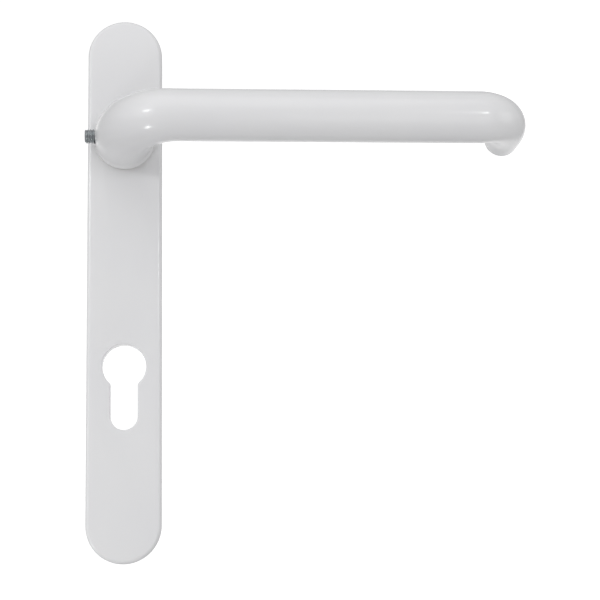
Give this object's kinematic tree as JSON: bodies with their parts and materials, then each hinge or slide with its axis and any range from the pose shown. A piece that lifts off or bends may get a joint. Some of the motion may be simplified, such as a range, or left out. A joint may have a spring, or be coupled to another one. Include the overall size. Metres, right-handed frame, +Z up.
{
  "type": "lever door handle on backplate",
  "caption": "White sprung lever handle on a narrow round-ended backplate with a profile-cylinder cut-out, square spindle and rear fixing pillars.",
  "frame": {"origin": "on the spindle axis, in the plane of the door face that the backplate's rim lies against", "axes": "+X along the lever, from the spindle towards its free end; -Y is the front, away from the door; +Z up, towards the plate's upper end"},
  "size_m": [0.1741, 0.136, 0.22],
  "materials": {
    "white_powder_coat": "satin white polyester powder coat on cast aluminium",
    "zinc_plated_steel": "bright zinc plated",
    "spring_steel": "oiled dark spring steel",
    "diecast_zinc": "bare die-cast zinc, fine matte",
    "white_nylon": "moulded nylon, matte",
    "black_rubber": "matte black EPDM rubber"
  },
  "bodies": {
    "plate_assembly": {"backplate": "white_powder_coat", "neck_bush": "white_nylon", "cassette_housing": "diecast_zinc", "cassette_lid": "zinc_plated_steel", "return_spring": "spring_steel", "anchor_pin": "zinc_plated_steel", "wave_washer": "spring_steel", "cassette_screw_1": "zinc_plated_steel", "cassette_screw_2": "zinc_plated_steel", "cassette_screw_3": "zinc_plated_steel", "cassette_screw_4": "zinc_plated_steel", "upper_pillar": "zinc_plated_steel", "lower_pillar": "zinc_plated_steel", "rim_gasket": "black_rubber"},
    "lever_assembly": {"lever": "white_powder_coat", "drive_hub": "zinc_plated_steel", "spindle": "zinc_plated_steel", "follower": "zinc_plated_steel", "retaining_ring": "spring_steel"},
    "grub": {"grub_screw": "zinc_plated_steel"}
  },
  "joints": [
    {"name": "lever_turn", "type": "hinge", "parent": "plate_assembly", "child": "lever_assembly", "pos_m": [0, 0, 0], "axis": [0, 1, 0], "range_deg": [-45, 45], "stiffness_Nm_per_rad": 3, "deforming": ["return_spring"]},
    {"name": "grub_screw_in", "type": "slide", "parent": "lever_assembly", "child": "grub", "axis": [1, 0, 0], "range_m": [0, 0.0034]}
  ]
}
